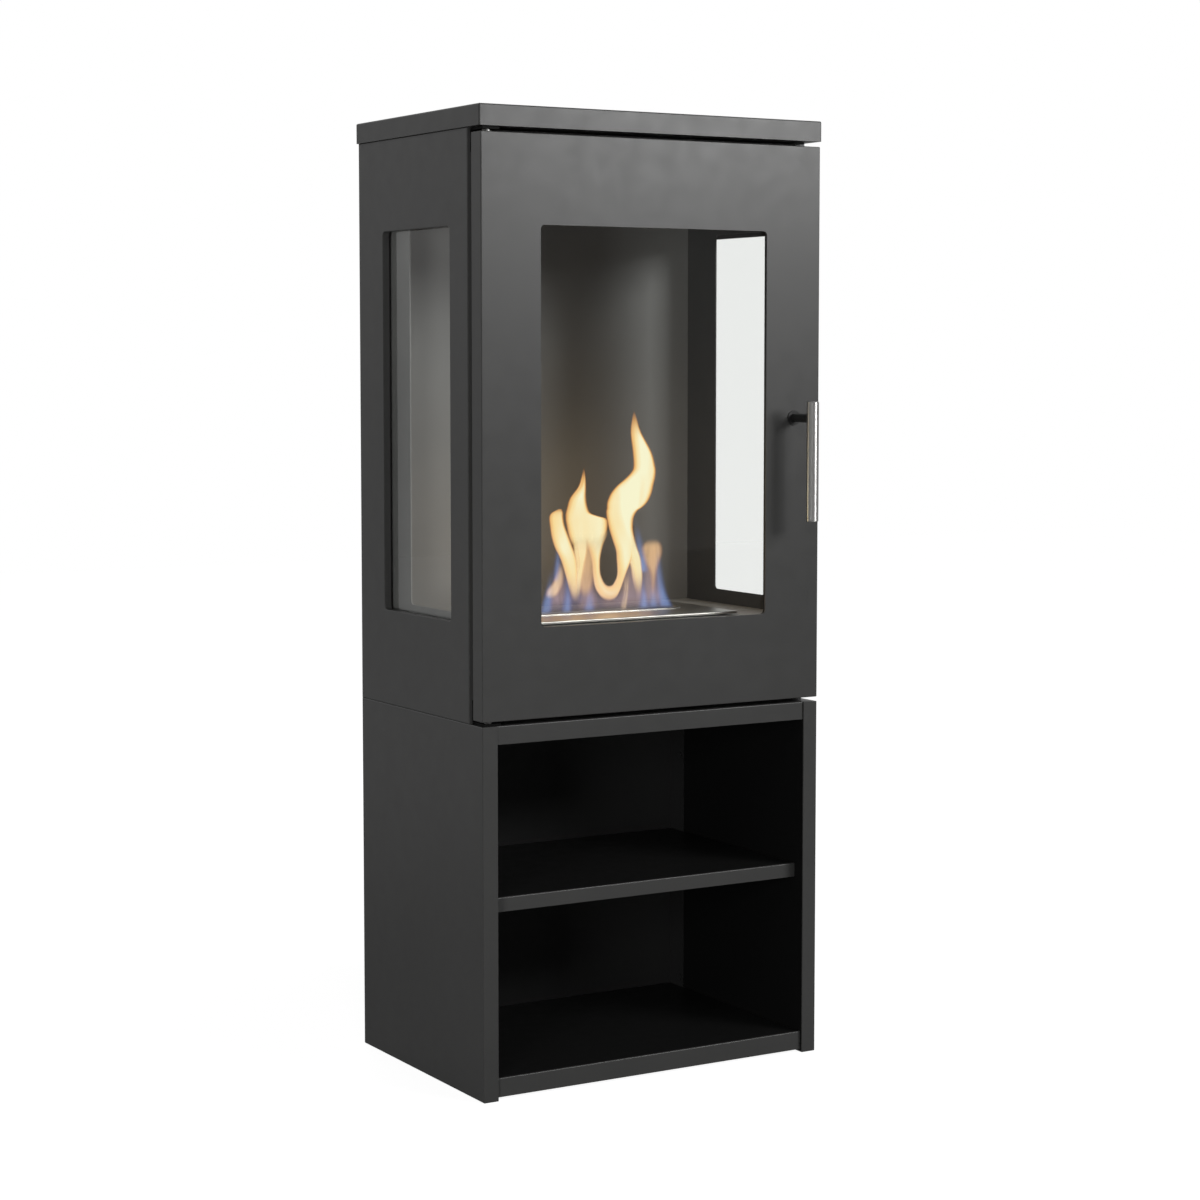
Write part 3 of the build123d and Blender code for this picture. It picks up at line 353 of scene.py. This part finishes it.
# The thin gas low over the slot is one blade, with these licks of colour in it.
VEIL = [
    (-2, -86, 104), (1, -84, 101), (12, -80, 95), (30, -77, 91), (50, -74, 88), (70, -70, 87),
    (90, -66, 86), (112, -60, 80),
]
LICKS = {
    "haze": ("violet", [(-2, -84, 100), (4, -79, 93), (14, -76, 88), (28, -71, 84)]),
    "haze_beside_left": (
        "violet", [(8, -78, 4), (18, -75, -3), (28, -71, -6), (44, -67, -10), (64, -62, -14)],
    ),
    "haze_beside_right": ("violet", [(8, 18, 91), (18, 24, 87), (28, 28, 84), (44, 31, 81), (64, 34, 79)]),
    "haze_left": ("pink", [(4, -78, -46), (20, -72, -44), (40, -66, -46), (60, -62, -52)]),
    "haze_middle": ("pink", [(-2, -40, 2), (14, -34, 0), (30, -30, -4), (50, -26, -5), (70, -22, -10)]),
    "haze_inner": ("pink", [(-2, 10, 60), (14, 16, 60), (30, 20, 58), (50, 24, 56), (72, 30, 52)]),
    "haze_right": ("pink", [(0, 52, 88), (20, 52, 85), (44, 52, 82), (66, 50, 80), (78, 54, 76)]),
    "under_cradle": ("pink", [(-2, 0, 20), (8, -6, 26), (20, -12, 30)]),
    "arm_glow": ("ember", [(14, -30, -14), (26, -32, -12), (40, -34, -9), (60, -36, -6), (84, -38, -2)]),
    "ember": ("ember", [
        (8, 65, 74), (24, 65, 74), (36, 64, 76), (45, 61, 78), (51, 57, 80), (57, 54, 82), (63, 52, 84),
        (69, 51, 84), (75, 54, 82), (81, 60, 77),
    ]),
    "foot_left": ("foot", [
        (16, -75, -62), (21, -76, -57), (27, -74, -53), (35, -67, -50), (46, -62, -49), (60, -60, -50),
    ]),
    "thread": ("thread", [(-4, 26, 31), (5, 27, 33), (18, 30, 35), (30, 31, 36), (44, 32, 36)]),
    "strand_left": ("blue", [(-2, -86, -64), (12, -82, -63), (24, -78, -62), (38, -74, -62), (56, -70, -63)]),
    "strand_left_high": ("blue", [(34, -68, -54), (52, -66, -52), (70, -64, -52), (90, -62, -56)]),
    "strand_left_inner": ("blue", [(-2, -57, -37), (14, -54, -38), (30, -52, -40), (52, -50, -44)]),
    "strand_middle": ("blue", [(-2, -28, -6), (14, -24, -9), (34, -20, -12)]),
    "strand_inner": ("blue", [(-2, 46, 68), (12, 49, 65), (26, 51, 61), (42, 53, 59)]),
    "strand_waist": ("blue", [
        (40, 44, 66), (56, 44, 64), (70, 43, 60), (86, 42, 56), (100, 42, 51), (111, 42, 47),
    ]),
    "strand_right": ("blue", [
        (-2, 76, 101), (12, 73, 93), (26, 71, 88), (44, 70, 85), (60, 70, 83), (84, 74, 80),
    ]),
    "strand_right_inner": ("blue", [(-2, 60, 80), (14, 62, 78), (34, 66, 74)]),
}
# The points around a blade, and half of its greatest thickness, in millimetres.
RING = 32
VEIL_RING = 320
HALF_DEPTH = 9.0
VEIL_HALF_DEPTH = 3.0
DEPTH_SHARE = 0.6
LEAST_HALF_WIDTH = 0.2
# A higher power makes a blade thinner at its edges.
EDGE_POWER = 5
ROW_STEP = 2.5


def smooth_rows(rows):
    """Rows on a smooth curve through the given ones, about a row step apart: two edge points a row."""
    rows = [row if len(row) == 4 else (row[1], row[0], row[2], row[0]) for row in rows]
    points = [np.array(row, float) for row in rows]
    points = [2 * points[0] - points[1]] + points + [2 * points[-1] - points[-2]]
    fine = []
    for before, start, end, after in zip(points, points[1:], points[2:], points[3:]):
        steps = max(1, round(np.abs(end - start).max() / ROW_STEP))
        for step in range(steps):
            t = step / steps
            bend = 2 * before - 5 * start + 4 * end - after
            twist = 3 * start - before - 3 * end + after
            fine.append((2 * start + (end - before) * t + bend * t**2 + twist * t**3) / 2)
    return fine + [points[-2]]


def blade(name, rows, offset, ring=RING, half_depth=HALF_DEPTH):
    """A closed blade of flame, thin at its edges and full in its middle. Each point knows how far it is
    from the blade's edge, how far along the blade it is, and its height over the slot."""
    fine = smooth_rows(rows)
    vertices, edge, rise, height_over = [], [], [], []
    for row, (x0, z0, x1, z1) in enumerate(fine):
        half = max(math.hypot(x1 - x0, z1 - z0) / 2, LEAST_HALF_WIDTH)
        thick = min(half_depth, DEPTH_SHARE * half)
        for index in range(ring):
            angle = 2 * math.pi * index / ring
            across = (1 + math.cos(angle)) / 2
            x, z = x0 + (x1 - x0) * across, z0 + (z1 - z0) * across
            y = offset + thick * math.sin(angle) ** EDGE_POWER
            vertices.append((x * MM, slot_y + y * MM, lip_z + z * MM))
            edge.append((1 - abs(math.cos(angle))) * half * MM)
            rise.append(row / (len(fine) - 1))
            height_over.append(z * MM)
    last = (len(fine) - 1) * ring
    faces = [tuple(reversed(range(ring))), tuple(range(last, last + ring))]
    for row in range(len(fine) - 1):
        for index in range(ring):
            low, nxt = row * ring, (index + 1) % ring
            faces.append((low + index, low + nxt, low + ring + nxt, low + ring + index))
    mesh = bpy.data.meshes.new(name)
    mesh.from_pydata(vertices, [], faces)
    for key, values in (("edge", edge), ("rise", rise), ("height_over", height_over)):
        mesh.attributes.new(key, "FLOAT", "POINT").data.foreach_set("value", values)
    mesh.polygons.foreach_set("use_smooth", [True] * len(mesh.polygons))
    piece = bpy.data.objects.new(name, mesh)
    bpy.context.scene.collection.objects.link(piece)
    piece.visible_shadow = False
    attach(piece, "burner")
    return piece


# The light of a flame and of the veil in mirrored rays, as a share of what the camera sees.
FLAME_REFLECTED = 1.6
VEIL_REFLECTED = 0.6
# A flame's colours: its edge near the foot, its edge higher up, between, and its middle.
YELLOW = ((1.0, 0.62, 0.38), (0.78, 0.31, 0.08), (1.0, 0.72, 0.3), (1.0, 0.96, 0.66))
PALE_FOOT = (8 * MM, 48 * MM)
PALE_RIM = (25 * MM, 110 * MM)
PALE_SHARE = 0.75
FLOW = 22.0
FLOW_STRETCH = (1.6, 1.0, 0.4)


def flame_skin(name, opacity, rim, soft, fade, start=0.0, tip=(0.85, 0.3), burnt=0.7):
    """Glowing gas. Its colours go from the edge inward over the rim's width, and it thins out over
    the soft width, at the foot between two heights over the slot, along the first part of its rows,
    and from a part of its rows up to a share at its tip, which is also the darker, burnt colour.
    Widths are in millimetres."""
    graph = material(name)
    edge, rise, height = (
        graph.add("Attribute", attribute_name=key).outputs["Fac"] for key in ("edge", "rise", "height_over")
    )
    flow = graph.spread(graph.noise(FLOW, 1.0, FLOW_STRETCH, distortion=0.4), 0.3, 0.62)
    inward = graph.spread(edge, 0.0, rim * MM)
    pale, outer, middle, core = (shade(colour) for colour in YELLOW)
    rim_tone = graph.blend(graph.spread(height, *PALE_RIM), pale, outer)
    tone = graph.blend(graph.spread(inward, 0.1, 0.6), rim_tone, middle)
    tone = graph.blend(graph.math("MULTIPLY", graph.spread(inward, 0.4, 1.0), flow), tone, core)
    tone = graph.blend(graph.spread(height, *PALE_FOOT, PALE_SHARE, 0.0), tone, pale)
    tip_start, tip_cover = tip
    tone = graph.blend(graph.spread(rise, tip_start, 1.0, 0.0, burnt, smooth=True), tone, outer)
    cover = graph.spread(edge, 0.0, soft * MM, 0.0, opacity, smooth=True)
    low, high = fade
    cover = graph.math("MULTIPLY", cover, graph.spread(height, low * MM, high * MM, smooth=True))
    cover = graph.math("MULTIPLY", cover, graph.spread(rise, tip_start, 1.0, 1.0, tip_cover, smooth=True))
    if start:
        cover = graph.math("MULTIPLY", cover, graph.spread(rise, 0.0, start, smooth=True))
    clear = graph.add("BsdfTransparent").outputs[0]
    seen = graph.add("LightPath").outputs["Is Camera Ray"]
    strength = graph.spread(seen, 0.0, 1.0, FLAME_REFLECTED, 1.0)
    glow = graph.add("Emission", {"Color": tone, "Strength": strength}).outputs[0]
    return graph.finish(graph.mix(cover, clear, glow))


skins = {
    "tall": flame_skin("flame_tall", 1.0, rim=8.5, soft=4.0, fade=(3.0, 24.0), start=0.16, tip=(0.9, 0.3)),
    "left": flame_skin("flame_left", 1.0, rim=8.0, soft=4.0, fade=(10.0, 50.0), tip=(0.85, 0.5), burnt=0.5),
    "middle": flame_skin("flame_middle", 1.0, rim=9.5, soft=4.5, fade=(70.0, 92.0)),
    "inner": flame_skin("flame_inner", 0.95, rim=7.0, soft=6.0, fade=(10.0, 48.0), tip=(0.6, 0.0), burnt=0.0),
    "leg": flame_skin("flame_leg", 0.95, rim=6.5, soft=6.5, fade=(8.0, 44.0), tip=(0.6, 0.0), burnt=0.0),
}
for name, (skin, offset, rows) in FLAMES.items():
    blade(name, rows, offset).data.materials.append(skins[skin])


# A lick's colour at its edge and in its middle, how much it covers, the width over which it thins out
# sideways, the height over which it starts, and from where in its rise it ends. Widths are in millimetres.
LICK_SKINS = {
    "violet": ((0.3, 0.34, 0.75), (0.42, 0.36, 0.56), 0.12, 14.0, 8.0, 0.3),
    "pink": ((0.6, 0.4, 0.45), (0.85, 0.54, 0.45), 0.13, 12.0, 14.0, 0.45),
    "ember": ((0.9, 0.45, 0.22), (1.0, 0.62, 0.32), 0.42, 8.0, 16.0, 0.85),
    "foot": ((0.9, 0.5, 0.3), (1.0, 0.7, 0.45), 0.6, 7.0, 8.0, 0.5),
    "thread": ((0.9, 0.55, 0.3), (1.0, 0.75, 0.5), 0.5, 3.0, 8.0, 0.6),
    "blue": ((0.14, 0.25, 0.75), (0.33, 0.5, 1.0), 0.22, 9.0, 6.0, 0.2),
}
STREAKS = 60.0
STREAK_STRETCH = (1.6, 1.0, 0.3)
STREAK_LIGHT = (0.75, 1.1)


def smoothstep(value):
    kept = np.clip(value, 0.0, 1.0)
    return kept * kept * (3 - 2 * kept)


def veil():
    """The thin gas: one closed blade whose points hold the glow and the cover of all its licks."""
    piece = blade("flame_veil", VEIL, 0.0, VEIL_RING, VEIL_HALF_DEPTH)
    place = np.empty(len(piece.data.vertices) * 3)
    piece.data.vertices.foreach_get("co", place)
    across, height = place[0::3] / MM, (place[2::3] - lip_z) / MM
    glow, cover = np.zeros((len(across), 3)), np.zeros(len(across))
    for skin, rows in LICKS.values():
        edge, core, opacity, soft, start, end = LICK_SKINS[skin]
        fine = np.array(smooth_rows(rows))
        left, right = (np.interp(height, fine[:, 1], fine[:, side]) for side in (0, 2))
        inward = smoothstep(np.minimum(across - left, right - across) / soft)
        rise = (height - rows[0][0]) / (rows[-1][0] - rows[0][0])
        ends = smoothstep((height - rows[0][0]) / start) * smoothstep((1 - rise) / (1 - end))
        share = opacity * inward * ends
        tone = np.array(edge) + np.outer(inward, np.array(core) - np.array(edge))
        glow = glow * (1 - share[:, None]) + tone * share[:, None]
        cover = cover + share * (1 - cover)
    colours = piece.data.attributes.new("glow", "FLOAT_COLOR", "POINT").data
    colours.foreach_set("color", np.column_stack([glow, np.ones(len(glow))]).ravel())
    piece.data.attributes.new("cover", "FLOAT", "POINT").data.foreach_set("value", cover)
    graph = material("flame_veil")
    streaks = graph.noise(STREAKS, 2.0, STREAK_STRETCH, distortion=0.5)
    flow = graph.spread(streaks, NOISE_LOW, NOISE_HIGH, *STREAK_LIGHT)
    seen = graph.add("LightPath").outputs["Is Camera Ray"]
    strength = graph.math("MULTIPLY", flow, graph.spread(seen, 0.0, 1.0, VEIL_REFLECTED, 1.0))
    tone = graph.add("Attribute", attribute_name="glow").outputs["Color"]
    kept = graph.math("SUBTRACT", 1.0, graph.add("Attribute", attribute_name="cover").outputs["Fac"])
    clear = graph.add("BsdfTransparent", {"Color": kept}).outputs[0]
    shine = graph.add("Emission", {"Color": tone, "Strength": strength}).outputs[0]
    piece.data.materials.append(graph.finish(graph.add("AddShader", {0: clear, 1: shine}).outputs[0]))


veil()


# ---------------------------------------------------------------- light
# Sizes and places in metres, powers in watts. The lamps face the lit point.
LIT_POINT = (0.0, -0.1, 0.85)
FIRE_POWER = 0.12
FIRE_COLOUR = (1.0, 0.5, 0.22)
FIRE_RADIUS = 0.03
FIRE_PLACE = (0.03, slot_y, lip_z + 0.09)
SLOT_LIGHT_SIZE = (0.15, 0.06)
SLOT_LIGHT_POWER = 0.016
SLOT_LIGHT_COLOUR = (1.0, 0.55, 0.26)
SLOT_LIGHT_PLACE = (-0.005, slot_y, lip_z + 0.034)
SLOT_LIGHT_OFFSET = 4 * MM


def lamp(name, azimuth, elevation, distance, size, power):
    """A rectangular soft light. Azimuth 0 is in front of the door."""
    data = bpy.data.lights.new(name, "AREA")
    data.shape = "RECTANGLE"
    data.size, data.size_y = size
    data.energy = power
    light = bpy.data.objects.new(name, data)
    turn, up = math.radians(azimuth), math.radians(elevation)
    along = np.array([math.cos(up) * math.sin(turn), -math.cos(up) * math.cos(turn), math.sin(up)])
    light.location = np.array(LIT_POINT) + distance * along
    light.rotation_euler = (math.pi / 2 - up, 0, turn)
    light.visible_camera = False
    bpy.context.scene.collection.objects.link(light)
    return light


def fire_glow():
    """The light that the flames throw on the firebox."""
    data = bpy.data.lights.new("fire_glow", "POINT")
    data.energy = FIRE_POWER
    data.color = FIRE_COLOUR
    data.shadow_soft_size = FIRE_RADIUS
    light = bpy.data.objects.new("fire_glow", data)
    light.location = FIRE_PLACE
    light.visible_glossy = False
    bpy.context.scene.collection.objects.link(light)


def slot_light(name, facing):
    """The row of flames as the burner's steel mirrors it. Facing 1 is forward, and -1 is backward."""
    data = bpy.data.lights.new(name, "AREA")
    data.shape = "RECTANGLE"
    data.size, data.size_y = SLOT_LIGHT_SIZE
    data.energy = SLOT_LIGHT_POWER
    data.color = SLOT_LIGHT_COLOUR
    light = bpy.data.objects.new(name, data)
    x, y, z = SLOT_LIGHT_PLACE
    light.location = (x, y - facing * SLOT_LIGHT_OFFSET, z)
    light.rotation_euler = (facing * math.pi / 2, 0, 0)
    light.visible_camera = False
    bpy.context.scene.collection.objects.link(light)


# How bright the room, the floor and the white behind the object are to mirrored rays or to the camera. A
# mirrored room is darker in front of the object, and brighter higher up behind it. To the camera the floor
# glows white, but slightly lower round the object's foot: a painted shade there, so that the object's real
# shadow shows on it.
ROOM_IN_FRONT = 0.21
ROOM_BEHIND = (0.3, 0.64)
ROOM_RISE = (-0.02, 0.15)
FLOOR_SIZE = 14.0
FLOOR_DROP = 0.5 * MM
FLOOR_TONES = (0.3, 0.32)
FLOOR_GRAIN = 60.0
FLOOR_MIRRORED = (0.11, 0.32)
FLOOR_MIRRORED_Y = (0.6, 2.2)
CAMERA_GLOW_AND_FOOT_SHADE = (0.93, 1.0)
FOOT_SHADE_RADIUS = (0.4, 1.6)


def mirrored_rays(graph):
    """Whether a ray comes from a reflection or through glass, and whether it comes from the camera."""
    ray = graph.add("LightPath").outputs
    return graph.math("MAXIMUM", ray["Is Glossy Ray"], ray["Is Transmission Ray"]), ray["Is Camera Ray"]


def studio():
    """A pale room behind the object and a dim one in front for reflections, and white for the camera."""
    world = bpy.data.worlds.new("studio")
    bpy.context.scene.world = world
    graph = Graph(world)
    mirrored, seen = mirrored_rays(graph)
    direction = graph.add("SeparateXYZ", {0: graph.add("TexCoord").outputs["Generated"]}).outputs
    back = graph.spread(direction["Z"], *ROOM_RISE, *ROOM_BEHIND, smooth=True)
    behind = graph.spread(direction["Y"], 0.0, 0.5, smooth=True)
    room = graph.add("Mix", {0: behind, 2: ROOM_IN_FRONT, 3: back}, data_type="FLOAT").outputs[0]
    strength = graph.math("ADD", graph.math("MULTIPLY", mirrored, room), seen)
    background = graph.add("Background", {"Color": shade(WHITE), "Strength": strength})
    graph.finish(background.outputs[0], "OutputWorld")


def floor():
    """A pale floor with a painted shade in its glow round the object's foot, so that the object's real shadow
    shows faintly. Mirrored, it is pale far behind the object and dim near it.
    """
    bpy.ops.mesh.primitive_plane_add(size=FLOOR_SIZE, location=(0, 0, -FLOOR_DROP))
    plane = bpy.context.object
    plane.name = "floor"
    graph = material("pale_floor")
    mirrored, seen = mirrored_rays(graph)
    point = graph.add("TexCoord").outputs["Object"]
    place = graph.add("SeparateXYZ", {0: point}).outputs
    far = graph.spread(place["Y"], *FLOOR_MIRRORED_Y, *FLOOR_MIRRORED, smooth=True)
    speckle = graph.spread(graph.noise(FLOOR_GRAIN, 3.0), NOISE_LOW, NOISE_HIGH)
    tone = graph.blend(speckle, *(shade((tone, tone, tone)) for tone in FLOOR_TONES))
    away = graph.add("VectorMath", {0: point}, operation="LENGTH").outputs["Value"]
    # Lower glow round the object's foot: painted shade.
    camera_glow_and_foot_shade = graph.spread(away, *FOOT_SHADE_RADIUS, *CAMERA_GLOW_AND_FOOT_SHADE, smooth=True)
    glow = graph.math("ADD", graph.math("MULTIPLY", mirrored, far), graph.math("MULTIPLY", seen, camera_glow_and_foot_shade))
    lit = graph.add("BsdfDiffuse", {"Color": tone}).outputs[0]
    shine = graph.add("Emission", {"Color": shade(WHITE), "Strength": glow}).outputs[0]
    plane.data.materials.append(graph.finish(graph.add("AddShader", {0: lit, 1: shine}).outputs[0]))


def camera():
    data = bpy.data.cameras.new("camera")
    data.lens = CAMERA_LENS
    data.sensor_width = SENSOR_WIDTH
    data.shift_y = CAMERA_SHIFT
    eye = bpy.data.objects.new("camera", data)
    eye.location = CAMERA_PLACE
    eye.rotation_euler = (math.radians(90 - CAMERA_PITCH), 0, math.radians(-CAMERA_YAW))
    bpy.context.scene.collection.objects.link(eye)
    bpy.context.scene.camera = eye


studio()
floor()
fire_glow()
slot_light("slot_light_front", 1)
slot_light("slot_light_back", -1)
lamp("key_light", azimuth=37, elevation=18, distance=2.4, size=(0.85, 0.75), power=26.0)
lamp("second_key_light", azimuth=24, elevation=17, distance=2.4, size=(0.8, 0.7), power=7.5)
soft_lamps = [
    lamp("left_light", azimuth=-49, elevation=-5, distance=2.8, size=(0.55, 1.0), power=31.0),
    lamp("high_left_light", azimuth=-35, elevation=40, distance=2.8, size=(0.9, 1.2), power=10.0),
    lamp("back_light", azimuth=172, elevation=25, distance=2.8, size=(1.0, 1.2), power=14.0),
]
for light in soft_lamps:
    light.visible_glossy = False
camera()
bpy.context.scene.view_settings.view_transform = "Standard"
